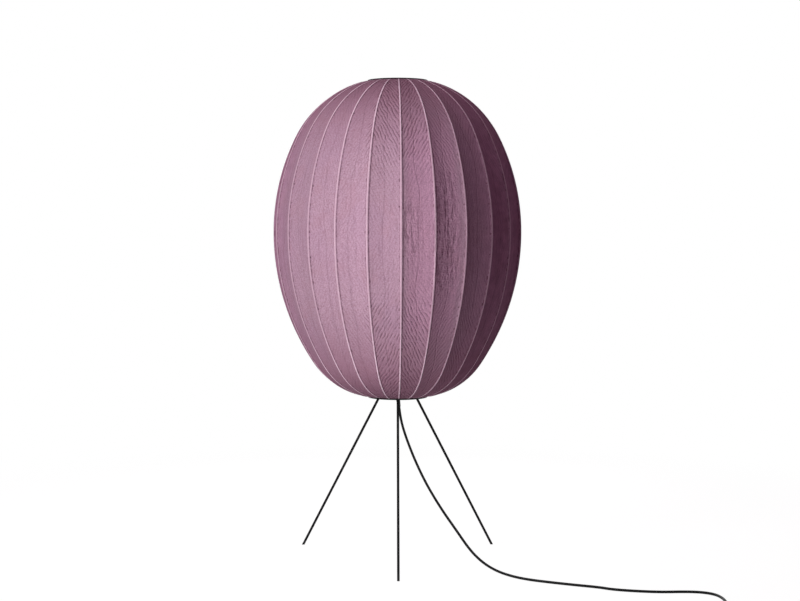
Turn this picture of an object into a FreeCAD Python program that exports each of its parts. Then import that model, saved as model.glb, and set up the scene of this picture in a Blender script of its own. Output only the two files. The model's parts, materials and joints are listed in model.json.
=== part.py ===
import FreeCAD, Part
import math
import os

from FreeCAD import Vector

# Knitted floor lamp, in millimetres
# Origin on the floor under the shade's axis, +Z up, front leg towards -Y

# Shade, measured over the knitted cover at a rib
shade_radius = 245.0
belly_z = 648.0
shade_bottom_z = 320.0
shade_top_z = 948.5

# Ribs: bowed rods in a ring, each a pair of arcs above the belly and a pair below it
rib_count = 24
rib_turn = 1.3
rib_diameter = 2.6
top_rib_slope = 12.0
bottom_rib_slope = 7.2
upper_shoulder_share = 1.0
lower_shoulder_share = 0.5

# Knitted cover, drawn in between the ribs by a hollow curve
cover_thickness = 1.0
cover_gap = 0.3
cover_hollow_radius = 140.0
cover_sections_per_arc = 4

# Top ring and base plate, each a rim with a collar that holds the rib ends
rim_radius = 59.4
top_rim_thickness = 1.4
plate_thickness = 2.4
rim_round = 0.6
collar_radius = 58.0
collar_bore_radius = 48.0
collar_depth = 12.0
socket_depth = 8.0
socket_clearance = 0.1
hem_gap = 0.6
hem_lift = 0.3
end_gap = 0.3

# Tripod
foot_radius = 226.0
leg_lean = 30.0
leg_diameter = 5.0
leg_hole_clearance = 0.1
plate_leg_clearance = 0.5
foot_tip_length = 12.0
foot_spigot_diameter = 2.8
foot_spigot_length = 5.0
foot_bore_clearance = 0.1
front_leg_angle = -90.0
leg_names = ("front_leg", "right_leg", "left_leg")

# Hub inside the shade, screwed to the base plate
hub_radius = 47.0
hub_edge_height = 7.0
hub_shoulder_radius = 36.0
hub_shoulder_height = 26.0
hub_neck_radius = 14.0
hub_height = 34.0
leg_socket_height = 22.0
grub_height = 11.0
grub_diameter = 4.0
grub_length = 7.0
grub_key_width = 2.0
grub_key_depth = 2.0
grub_tip_gap = 0.15
hub_screw_circle_radius = 38.0
hub_screw_diameter = 4.0
hub_screw_length = 12.0
screw_head_radius = 3.8
screw_head_height = 2.4
screw_slot_width = 1.0
screw_slot_depth = 1.0
thread_clearance = 0.1

# Stem, lead and lampholder
stem_diameter = 10.0
stem_bore_diameter = 6.6
stem_clearance = 0.15
nut_width = 14.0
nut_height = 4.0
holder_z = 508.0
holder_radius = 20.0
holder_wall = 2.5
holder_shoulder = 8.0
holder_cap_height = 24.0
holder_floor = 3.0
holder_sleeve_height = 38.0
holder_core_clearance = 0.3
core_flange_height = 3.0
core_depth = 6.0
core_height = 12.0
shell_bore_radius = 13.7
shell_wall = 0.8
shell_height = 27.0
shell_floor_radius = 6.0
centre_contact_radius = 3.5
centre_contact_height = 4.0
terminal_offset = 10.0
terminal_screw_diameter = 3.0
terminal_screw_length = 5.0
terminal_head_radius = 2.6
terminal_head_height = 1.8
core_wire_diameter = 1.8
core_wire_spacing = 2.4

# Bulb with a screw cap of 27 mm
bulb_rest_gap = 0.3
bulb_cap_radius = 13.2
bulb_cap_wall = 0.6
bulb_cap_height = 25.0
bulb_cap_chamfer = 3.2
bulb_tip_radius = 4.8
bulb_tip_height = 1.5
bulb_tip_flange = 1.7
bulb_neck_length = 7.0
bulb_radius = 30.0
bulb_body_height = 38.0
bulb_collar_radius = 14.0
bulb_skirt_height = 12.0
bulb_wall = 1.5

# Cord and strain relief
cord_diameter = 5.0
cord_hole_clearance = 0.1
cord_heading = -43.0
relief_lean = 10.5
relief_length = 20.0
relief_flange_radius = 7.0
relief_flange_height = 2.0
relief_top_radius = 4.4
relief_tip_radius = 3.2
relief_spigot_length = 12.0
relief_spigot_clearance = 0.15
relief_bend_reach = 5.0

# Foot switch on the cord
switch_place = (478.0, -506.0)
switch_length = 74.0
switch_width = 32.0
switch_corner = 10.0
switch_top_round = 1.6
switch_base_height = 9.0
switch_height = 21.0
switch_wall = 2.0
switch_cord_z = 5.0
switch_nub_length = 8.0
switch_nub_root = 3.9
switch_nub_tip = 3.4
switch_grip = 10.0
button_radius = 9.3
button_clearance = 0.3
button_stand = 4.0
button_round = 1.0
button_flange_radius = 11.5
button_flange_height = 2.2
button_stem_radius = 3.0
button_stem_end_z = 9.0
spring_radius = 5.0
spring_wire = 0.8
spring_turns = 5
spring_seat_height = 2.0
spring_gap = 0.2
switch_screw_place = (28.0, 9.5)
switch_boss_radius = 3.5
switch_screw_radius = 1.5
switch_screw_length = 14.0
switch_screw_head_radius = 2.8
switch_screw_head_height = 2.0
contact_thickness = 0.8
contact_width = 6.0
contact_reach = (10.0, 22.0)
contact_tab_height = 5.0

# Coil of the spare cord, its tie and the plug
coil_x = 395.0
coil_inner_radius = 20.0
coil_turns = 7.5
coil_step = 5.6
coil_climb_turns = 0.5
gap_probe_step = 4.0
gap_probe_apart = 40.0
tie_thickness = 1.0
tie_width = 10.0
tie_gap = 0.3
tie_angle = 180.0
plug_start_x = 441.0
plug_relief_length = 22.0
plug_relief_tip = 3.4
plug_relief_root = 5.2
plug_length = 37.0
plug_width = 26.0
plug_nose_width = 31.0
plug_height = 14.0
plug_grip = 12.0
plug_edge = 2.0
plug_tail_taper = 6.0
plug_nose_land = 8.0
pin_diameter = 4.0
pin_root_diameter = 3.4
pin_length = 19.0
pin_depth = 10.0
pin_spacing = 18.6
pin_clearance = 0.05
pin_round = 1.0

# Worked out from the sizes above
cord_radius = cord_diameter / 2
cord_hole = cord_radius + cord_hole_clearance
rib_radius = rib_diameter / 2
cover_inside = rib_radius + cover_gap
cover_outside = cover_inside + cover_thickness
rib_step = 360.0 / rib_count
plate_top_z = shade_bottom_z + plate_thickness
rim_under_z = shade_top_z - top_rim_thickness
cover_edge_radius = collar_radius + hem_gap
leg_rise = math.radians(leg_lean)
leg_step = 360.0 / len(leg_names)
leg_angles = [front_leg_angle + leg_step * index for index in range(len(leg_names))]
core_z = holder_z + holder_cap_height
shell_z = core_z + core_height
bulb_z = shell_z + centre_contact_height + bulb_rest_gap
cover_floor_z = switch_height - switch_wall
coil_outer_radius = coil_inner_radius + coil_step * coil_turns / 2
coil_place = (coil_x, switch_place[1] - coil_outer_radius)

# Share of the shorter run that each arc of a cord takes up
cord_arc_share = 0.45

# Way of the cord out of the base plate, leaning towards where it comes down to the floor
heading = math.radians(cord_heading)
lean = math.radians(relief_lean)
exit_way = Vector(math.cos(heading) * math.sin(lean), math.sin(heading) * math.sin(lean), -math.cos(lean))
exit_point = Vector(0, 0, shade_bottom_z)
relief_tip = exit_point + exit_way * relief_length
cord_clear = relief_tip + exit_way * relief_length

# Route of the cord from the strain relief to the foot switch, chosen by hand
floor_z = 2.6
lamp_cord_route = [
    tuple(relief_tip),
    tuple(cord_clear),
    (10.0, -9.3, 260.0),
    (20.4, -19.0, 230.0),
    (36.3, -33.9, 192.0),
    (58.0, -54.1, 149.5),
    (86.5, -80.7, 106.0),
    (113.5, -105.8, 71.0),
    (138.0, -128.7, 38.0),
    (161.5, -150.6, 18.0),
    (187.0, -174.4, 6.8),
    (214.0, -199.6, floor_z),
    (242.5, -228.0, floor_z),
    (284.8, -252.2, floor_z),
    (326.7, -273.0, floor_z),
    (366.0, -290.5, floor_z),
    (389.0, -308.5, floor_z),
    (429.6, -321.5, floor_z),
    (472.0, -329.0, floor_z),
    (516.0, -326.0, floor_z),
    (545.0, -330.0, floor_z),
    (566.0, -346.0, floor_z),
    (574.0, -374.0, floor_z),
    (574.0, -410.0, floor_z),
    (572.0, -448.0, floor_z),
    (560.0, -482.0, 2.8),
    (538.0, switch_place[1], switch_cord_z),
    (505.0, switch_place[1], switch_cord_z),
]

finished = {}


def keep(name, shape):
    """Puts a finished piece on the list of files to write."""
    finished[name] = shape


def rotated(shape, degrees):
    """A copy turned about the lamp's axis."""
    copy = shape.copy()
    copy.rotate(Vector(0, 0, 0), Vector(0, 0, 1), degrees)
    return copy


def moved(shape, x, y, z):
    """A copy moved from the origin to a place."""
    copy = shape.copy()
    copy.translate(Vector(x, y, z))
    return copy


def turned(profile):
    """A solid turned about the lamp's axis from a profile of (radius, height) corners."""
    corners = [Vector(r, 0, z) for r, z in profile]
    face = Part.Face(Part.makePolygon(corners + corners[:1]))
    return face.revolve(Vector(0, 0, 0), Vector(0, 0, 1), 360)


def tube(outer, inner, z0, z1):
    """A plain ring between two heights."""
    return turned([(inner, z0), (outer, z0), (outer, z1), (inner, z1)])


def rod(radius, start, end):
    """A round bar between two points."""
    return Part.makeCylinder(radius, (end - start).Length, start, end - start)


def box(x0, x1, y0, y1, z0, z1):
    """A block between two corners."""
    return Part.makeBox(x1 - x0, y1 - y0, z1 - z0, Vector(x0, y0, z0))


def arc(start, apex, end):
    """The arc that touches the lines start to apex and apex to end, or a line where they are in line."""
    middle = (start + end) * 0.5
    rise = apex - middle
    half = (end - start).Length / 2
    if rise.Length < 1e-6 * half:
        return Part.LineSegment(start, end).toShape()
    sagitta = half * math.tan(math.atan2(rise.Length, half) / 2)
    return Part.Arc(start, middle + rise * (sagitta / rise.Length), end).toShape()


def biarc(start, start_way, end, end_way, share=1.0):
    """Two arcs from start to end along the given ways; share is the first tangent over the second."""
    span = end - start
    a = 2 * share * (start_way.dot(end_way) - 1)
    b = -2 * span.dot(start_way * share + end_way)
    c = span.dot(span)
    if abs(a) < 1e-9:
        second = -c / b
    else:
        second = (-b - math.sqrt(b * b - 4 * a * c)) / (2 * a)
    first = share * second
    apex_one = start + start_way * first
    apex_two = end - end_way * second
    join = (apex_one * second + apex_two * first) * (1 / (first + second))
    return [arc(start, apex_one, join), arc(join, apex_two, end)]


def swept(edges, radius):
    """A round bar along a smooth chain of edges."""
    first = edges[0]
    start = first.valueAt(first.FirstParameter)
    way = first.tangentAt(first.FirstParameter)
    section = Part.Wire(Part.makeCircle(radius, start, way))
    return Part.Wire(edges).makePipeShell([section], True, False)


def route_edges(points):
    """Straight runs joined by arcs as large as the runs allow, with the radius of each arc."""
    points = [Vector(*p) for p in points]
    edges = []
    radii = []
    here = points[0]
    for before, corner, after in zip(points, points[1:], points[2:]):
        reach = cord_arc_share * min((corner - before).Length, (after - corner).Length)
        way_in = (corner - before).normalize()
        way_out = (after - corner).normalize()
        start = corner - way_in * reach
        end = corner + way_out * reach
        edges.append(Part.LineSegment(here, start).toShape())
        edges.append(arc(start, corner, end))
        radii.append(reach / math.tan(way_in.getAngle(way_out) / 2))
        here = end
    edges.append(Part.LineSegment(here, points[-1]).toShape())
    return edges, radii


def hexagon(width, z0, height, bore):
    """A hexagon nut on the lamp's axis."""
    corner = width / math.sqrt(3)
    angles = [math.radians(60 * side) for side in range(7)]
    points = [Vector(corner * math.cos(a), corner * math.sin(a), z0) for a in angles]
    nut = Part.Face(Part.makePolygon(points)).extrude(Vector(0, 0, height))
    return nut.cut(Part.makeCylinder(bore, height, Vector(0, 0, z0)))


def slotted_screw(radius, length, head_radius, head_height, slot_width, slot_depth):
    """A screw that points up, with its head below the origin."""
    screw = Part.makeCylinder(radius, length).fuse(
        Part.makeCylinder(head_radius, head_height, Vector(0, 0, -head_height)))
    half = slot_width / 2
    slot = box(-head_radius, head_radius, -half, half, -head_height, slot_depth - head_height)
    return screw.cut(slot).removeSplitter()


def rib_line():
    """Rib centre line in the XZ plane: bottom socket, two pairs of arcs over the belly, top socket."""
    low = math.radians(bottom_rib_slope)
    high = math.radians(top_rib_slope)
    low_way = Vector(math.cos(low), 0, math.sin(low))
    high_way = Vector(-math.cos(high), 0, math.sin(high))
    low_entry = Vector(cover_edge_radius, 0, plate_top_z + hem_lift + cover_outside / math.cos(low))
    high_entry = Vector(cover_edge_radius, 0, rim_under_z - hem_lift - cover_outside / math.cos(high))
    belly = Vector(shade_radius - cover_outside, 0, belly_z)
    up = Vector(0, 0, 1)
    bow = biarc(low_entry, low_way, belly, up, lower_shoulder_share)
    bow += biarc(belly, up, high_entry, high_way, upper_shoulder_share)
    reach = cover_edge_radius - collar_radius + socket_depth
    low_end = low_entry - low_way * (reach / math.cos(low))
    high_end = high_entry + high_way * (reach / math.cos(high))
    return low_end, low_entry, bow, high_entry, high_end


def rib_angle(index):
    """Direction of a rib round the lamp's axis."""
    return -90.0 + rib_turn + rib_step * index


def make_ribs():
    """One bowed rod, repeated round the axis."""
    low_end, low_entry, bow, high_entry, high_end = rib_line()
    low_seat = low_end + (low_entry - low_end).normalize() * end_gap
    high_seat = high_end + (high_entry - high_end).normalize() * end_gap
    edges = [Part.LineSegment(low_seat, low_entry).toShape()]
    edges += bow
    edges.append(Part.LineSegment(high_entry, high_seat).toShape())
    rib = swept(edges, rib_radius)
    for index in range(rib_count):
        keep("rib_%02d" % (index + 1), rotated(rib, rib_angle(index)))


def rib_sockets(end, entry):
    """Holes for all rib ends in a collar."""
    hole = rod(rib_radius + socket_clearance, end, entry + (entry - end))
    return Part.makeCompound([rotated(hole, rib_angle(index)) for index in range(rib_count)])


def gore_ring(radius, height):
    """Closed outline of the cover at one height: an arc hollowed inwards between each two ribs."""
    half = math.radians(rib_step / 2)
    half_chord = radius * math.sin(half)
    hollow = cover_hollow_radius - math.sqrt(cover_hollow_radius ** 2 - half_chord ** 2)
    middle = radius * math.cos(half) - hollow
    edges = []
    for index in range(rib_count):
        angles = [math.radians(rib_angle(index + share)) for share in (0, 0.5, 1)]
        radii = (radius, middle, radius)
        points = [Vector(r * math.cos(a), r * math.sin(a), height) for r, a in zip(radii, angles)]
        edges.append(Part.Arc(*points).toShape())
    return Part.Wire(edges)


def cover_rings(offset):
    """Outlines of one face of the cover, at a distance outside the rib's centre line."""
    bow = rib_line()[2]
    shares = [step / cover_sections_per_arc for step in range(cover_sections_per_arc)]
    places = [(edge, share) for edge in bow for share in shares]
    places.append((bow[-1], 1.0))
    rings = []
    for edge, share in places:
        parameter = edge.FirstParameter + share * (edge.LastParameter - edge.FirstParameter)
        point = edge.valueAt(parameter)
        way = edge.tangentAt(parameter)
        rings.append(gore_ring(point.x + way.z * offset, point.z - way.x * offset))
    return rings


def make_knit_cover():
    """The cover's outer and inner faces, closed by a narrow hem at each end."""
    outer = cover_rings(cover_outside)
    inner = cover_rings(cover_inside)
    faces = Part.makeLoft(outer, False, False).Faces + Part.makeLoft(inner, False, False).Faces
    for end in (0, -1):
        faces += Part.makeLoft([outer[end], inner[end]], False, True).Faces
    skin = Part.makeShell(faces)
    skin.sewShape()
    cover = Part.makeSolid(skin)
    if cover.Volume < 0:
        cover.reverse()
    keep("knit_cover", cover)


def make_top_ring():
    """Rim with a rounded edge over the collar that holds the upper rib ends."""
    high_entry, high_end = rib_line()[3:]
    ring = turned([
        (collar_bore_radius, rim_under_z - collar_depth),
        (collar_radius, rim_under_z - collar_depth),
        (collar_radius, rim_under_z),
        (rim_radius, rim_under_z),
        (rim_radius, shade_top_z),
        (collar_bore_radius, shade_top_z),
    ])
    top_edges = [e for e in ring.Edges if abs(e.BoundBox.ZMin - shade_top_z) < 1e-6]
    outer_edge = [e for e in top_edges if e.BoundBox.XMax > collar_radius]
    ring = ring.makeFillet(rim_round, outer_edge)
    keep("top_ring", ring.cut(rib_sockets(high_end, high_entry)))


def leg_line(angle):
    """Foot point of a leg on the floor and its direction up to the hub."""
    around = math.radians(angle)
    outward = Vector(math.cos(around), math.sin(around), 0)
    way = Vector(0, 0, math.cos(leg_rise)) - outward * math.sin(leg_rise)
    return outward * foot_radius, way


def leg_point(angle, height):
    """The point of a leg's centre line at a height."""
    foot, way = leg_line(angle)
    return foot + way * (height / math.cos(leg_rise))


def hub_screw_places():
    """Places of the hub's screws, midway between the legs."""
    places = []
    for angle in leg_angles:
        around = math.radians(angle + leg_step / 2)
        x = hub_screw_circle_radius * math.cos(around)
        y = hub_screw_circle_radius * math.sin(around)
        places.append((x, y))
    return places


def make_base_plate():
    """Disc with a collar for the lower rib ends, and holes for the legs, screws and stem."""
    low_end, low_entry = rib_line()[:2]
    plate = turned([
        (0, shade_bottom_z),
        (rim_radius, shade_bottom_z),
        (rim_radius, plate_top_z),
        (collar_radius, plate_top_z),
        (collar_radius, plate_top_z + collar_depth),
        (collar_bore_radius, plate_top_z + collar_depth),
        (collar_bore_radius, plate_top_z),
        (0, plate_top_z),
    ])
    edge = [e for e in plate.Edges if abs(e.BoundBox.ZMax - shade_bottom_z) < 1e-6]
    plate = plate.makeFillet(rim_round, edge)
    holes = [rib_sockets(low_end, low_entry)]
    stem_hole = stem_diameter / 2 + stem_clearance
    holes.append(Part.makeCylinder(stem_hole, plate_thickness, Vector(0, 0, shade_bottom_z)))
    for angle in leg_angles:
        start = leg_point(angle, shade_bottom_z - plate_thickness)
        end = leg_point(angle, plate_top_z + plate_thickness)
        holes.append(rod(leg_diameter / 2 + plate_leg_clearance, start, end))
    for x, y in hub_screw_places():
        radius = hub_screw_diameter / 2 + thread_clearance
        holes.append(Part.makeCylinder(radius, plate_thickness, Vector(x, y, shade_bottom_z)))
    keep("base_plate", plate.cut(holes))


def make_hub():
    """Cast hub with a slanted socket and a grub screw for each leg."""
    bore = stem_diameter / 2 + stem_clearance
    hub = turned([
        (bore, plate_top_z),
        (hub_radius, plate_top_z),
        (hub_radius, plate_top_z + hub_edge_height),
        (hub_shoulder_radius, plate_top_z + hub_shoulder_height),
        (hub_neck_radius, plate_top_z + hub_height),
        (bore, plate_top_z + hub_height),
    ])
    holes = []
    for angle in leg_angles:
        start = leg_point(angle, shade_bottom_z)
        end = leg_point(angle, plate_top_z + leg_socket_height)
        holes.append(rod(leg_diameter / 2 + leg_hole_clearance, start, end))
        tip, out = grub_line(angle)
        holes.append(rod(grub_diameter / 2 + thread_clearance, tip, tip + out * hub_radius))
    for x, y in hub_screw_places():
        radius = hub_screw_diameter / 2 + thread_clearance
        depth = hub_screw_length - plate_thickness + end_gap
        holes.append(Part.makeCylinder(radius, depth, Vector(x, y, plate_top_z)))
    keep("tripod_hub", hub.cut(holes))


def grub_line(angle):
    """Tip of a grub screw, just clear of its leg, and its way out of the hub, square to the leg."""
    around = math.radians(angle)
    outward = Vector(math.cos(around), math.sin(around), 0)
    out = outward * math.cos(leg_rise) + Vector(0, 0, math.sin(leg_rise))
    tip = leg_point(angle, plate_top_z + grub_height) + out * (leg_diameter / 2 + grub_tip_gap)
    return tip, out


def make_legs():
    """Three rods with a spigot at the foot, their tips cut level with the floor, and their grub screws."""
    tips = []
    grubs = []
    for name, angle in zip(leg_names, leg_angles):
        foot, way = leg_line(angle)
        shoulder = foot + way * foot_tip_length
        top = leg_point(angle, plate_top_z + leg_socket_height) - way * end_gap
        spigot_end = shoulder - way * foot_spigot_length
        spigot = rod(foot_spigot_diameter / 2, spigot_end, shoulder + way * foot_spigot_length)
        keep(name, rod(leg_diameter / 2, shoulder, top).fuse(spigot).removeSplitter())
        tip = rod(leg_diameter / 2, foot - way * foot_tip_length, shoulder)
        bore_end = shoulder - way * (foot_spigot_length + end_gap)
        bore = rod(foot_spigot_diameter / 2 + foot_bore_clearance, bore_end, shoulder)
        reach = 2 * foot_tip_length
        below = box(foot.x - reach, foot.x + reach, foot.y - reach, foot.y + reach, -reach, 0)
        tips.append(tip.cut([bore, below]))
        grub_tip, out = grub_line(angle)
        grub_end = grub_tip + out * grub_length
        key = rod(grub_key_width / 2, grub_end - out * grub_key_depth, grub_end)
        grubs.append(rod(grub_diameter / 2, grub_tip, grub_end).cut(key))
    keep("foot_tips", Part.makeCompound(tips))
    keep("leg_grub_screws", Part.makeCompound(grubs))


def make_hub_screws():
    """Slotted screws up through the base plate into the hub."""
    screw = slotted_screw(hub_screw_diameter / 2, hub_screw_length, screw_head_radius, screw_head_height,
                          screw_slot_width, screw_slot_depth)
    screws = [moved(screw, x, y, shade_bottom_z) for x, y in hub_screw_places()]
    keep("hub_screws", Part.makeCompound(screws))


def exit_edges(start, end):
    """The lead's line: down the axis, round a bend at the base plate and out along the strain relief."""
    above = exit_point + Vector(0, 0, relief_bend_reach)
    below = exit_point + exit_way * relief_bend_reach
    straight = [Part.LineSegment(start, above).toShape(), Part.LineSegment(below, end).toShape()]
    return [straight[0], arc(above, exit_point, below), straight[1]]


def make_stem():
    """Tube from the base plate to the lampholder, with its nuts, the lead inside and the strain relief."""
    top = holder_z + holder_floor + nut_height
    keep("stem", tube(stem_diameter / 2, stem_bore_diameter / 2, shade_bottom_z, top))
    bore = stem_diameter / 2 + stem_clearance
    nut_places = [plate_top_z + hub_height, holder_z - nut_height, holder_z + holder_floor]
    nuts = [hexagon(nut_width, z, nut_height, bore) for z in nut_places]
    keep("stem_nuts", Part.makeCompound(nuts))
    flange_z = shade_bottom_z - relief_flange_height
    spigot = stem_bore_diameter / 2 - relief_spigot_clearance
    relief = turned([
        (0, flange_z),
        (relief_flange_radius, flange_z),
        (relief_flange_radius, shade_bottom_z),
        (spigot, shade_bottom_z),
        (spigot, shade_bottom_z + relief_spigot_length),
        (0, shade_bottom_z + relief_spigot_length),
    ])
    root = exit_point + exit_way * (relief_flange_height / 2)
    cone_length = (relief_tip - root).Length
    cone = Part.makeCone(relief_top_radius, relief_tip_radius, cone_length, root, exit_way)
    relief = relief.fuse(cone)
    hole_ends = (Vector(0, 0, top), relief_tip + exit_way * cord_diameter)
    keep("strain_relief", relief.cut(swept(exit_edges(*hole_ends), cord_hole)).removeSplitter())
    keep("inner_lead", swept(exit_edges(Vector(0, 0, top), relief_tip), cord_radius))
    wires = []
    for side in (-1, 1):
        start = Vector(side * core_wire_spacing / 2, 0, top)
        end = Vector(side * terminal_offset, 0, core_z - core_depth - terminal_head_height - end_gap)
        wires.append(swept(biarc(start, Vector(0, 0, 1), end, Vector(0, 0, 1)), core_wire_diameter / 2))
    keep("core_wires", Part.makeCompound(wires))


def make_lampholder():
    """Screw-in lampholder on the stem: cap, sleeve, ceramic core, screw shell, contact and terminals."""
    bore = stem_diameter / 2 + stem_clearance
    inside = holder_radius - holder_wall
    keep("holder_cap", turned([
        (bore, holder_z),
        (holder_radius - holder_shoulder, holder_z),
        (holder_radius, holder_z + holder_shoulder),
        (holder_radius, core_z),
        (inside, core_z),
        (inside, holder_z + holder_floor + holder_shoulder),
        (inside - holder_shoulder + holder_floor, holder_z + holder_floor),
        (bore, holder_z + holder_floor),
    ]))
    flange_top = core_z + core_flange_height
    keep("holder_sleeve", tube(holder_radius, inside, flange_top, flange_top + holder_sleeve_height))
    body = inside - holder_core_clearance
    core = turned([
        (0, core_z - core_depth),
        (body, core_z - core_depth),
        (body, core_z),
        (holder_radius, core_z),
        (holder_radius, flange_top),
        (body, flange_top),
        (body, shell_z),
        (0, shell_z),
    ])
    screw = slotted_screw(terminal_screw_diameter / 2, terminal_screw_length, terminal_head_radius,
                          terminal_head_height, screw_slot_width, screw_slot_depth)
    screws = [moved(screw, side * terminal_offset, 0, core_z - core_depth) for side in (-1, 1)]
    hole_radius = terminal_screw_diameter / 2 + thread_clearance
    hole_depth = terminal_screw_length + end_gap
    hole = Part.makeCylinder(hole_radius, hole_depth, Vector(0, 0, core_z - core_depth))
    keep("holder_core", core.cut([moved(hole, side * terminal_offset, 0, 0) for side in (-1, 1)]))
    keep("terminal_screws", Part.makeCompound(screws))
    shell_radius = shell_bore_radius + shell_wall
    keep("screw_shell", turned([
        (shell_floor_radius, shell_z),
        (shell_radius, shell_z),
        (shell_radius, shell_z + shell_height),
        (shell_bore_radius, shell_z + shell_height),
        (shell_bore_radius, shell_z + shell_wall),
        (shell_floor_radius, shell_z + shell_wall),
    ]))
    contact = Part.makeCylinder(centre_contact_radius, centre_contact_height, Vector(0, 0, shell_z))
    keep("centre_contact", contact)


def make_bulb():
    """Bulb: centre contact, screw cap, body with its neck in the cap, and an opal dome."""
    cap_z = bulb_z + bulb_tip_height
    cap_bore = bulb_cap_radius - bulb_cap_wall
    cap_top = cap_z + bulb_cap_height
    floor = cap_z + bulb_cap_wall + bulb_rest_gap
    keep("bulb_contact", turned([
        (0, bulb_z),
        (bulb_tip_radius, bulb_z),
        (bulb_tip_radius, floor),
        (bulb_tip_radius + bulb_tip_flange, floor),
        (bulb_tip_radius + bulb_tip_flange, floor + bulb_cap_wall),
        (0, floor + bulb_cap_wall),
    ]))
    hole = bulb_tip_radius + stem_clearance
    foot = bulb_cap_radius - bulb_cap_chamfer
    keep("bulb_cap", turned([
        (hole, cap_z),
        (foot, cap_z),
        (bulb_cap_radius, cap_z + bulb_cap_chamfer),
        (bulb_cap_radius, cap_top),
        (cap_bore, cap_top),
        (cap_bore, cap_z + bulb_cap_chamfer + bulb_cap_wall),
        (foot - bulb_cap_wall, cap_z + bulb_cap_wall),
        (hole, cap_z + bulb_cap_wall),
    ]))
    neck = cap_bore - socket_clearance
    body_top = cap_top + bulb_body_height
    keep("bulb_body", turned([
        (neck - bulb_wall, cap_top - bulb_neck_length),
        (neck, cap_top - bulb_neck_length),
        (neck, cap_top),
        (bulb_collar_radius, cap_top),
        (bulb_radius, body_top - bulb_wall),
        (bulb_radius, body_top),
        (bulb_radius - 2 * bulb_wall, body_top),
        (neck - bulb_wall, cap_top + bulb_wall),
    ]))
    centre_z = body_top + bulb_skirt_height
    halves = []
    for radius in (bulb_radius, bulb_radius - bulb_wall):
        ball = Part.makeSphere(radius, Vector(0, 0, centre_z), Vector(0, 0, 1), 0, 90, 360)
        halves.append(ball.fuse(Part.makeCylinder(radius, bulb_skirt_height, Vector(0, 0, body_top))))
    keep("bulb_dome", halves[0].cut(halves[1]).removeSplitter())


def make_lamp_cord():
    """Free cord from the strain relief to the foot switch."""
    edges, radii = route_edges(lamp_cord_route)
    cord = swept(edges, cord_radius)
    length = sum(edge.Length for edge in edges)
    print("lamp cord length %.1f, radii %s" % (length, " ".join("%.0f" % r for r in radii)))
    full = math.pi * cord_radius ** 2 * length
    print("lamp cord volume over section times length %.5f" % (cord.Volume / full))
    keep("lamp_cord", cord)


def rounded_block(length, width, z0, z1, corner):
    """A block on the origin with rounded upright edges."""
    block = box(-length / 2, length / 2, -width / 2, width / 2, z0, z1)
    upright = [e for e in block.Edges if e.BoundBox.ZLength > (z1 - z0) / 2]
    return block.makeFillet(corner, upright)


def hollow_block(z0, z1, floor_z0, floor_z1):
    """The switch's outline between two heights, hollow between two others."""
    inner = switch_corner - switch_wall
    outside = rounded_block(switch_length, switch_width, z0, z1, switch_corner)
    inner_length = switch_length - 2 * switch_wall
    inner_width = switch_width - 2 * switch_wall
    inside = rounded_block(inner_length, inner_width, floor_z0, floor_z1, inner)
    return outside.cut(inside)


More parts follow.
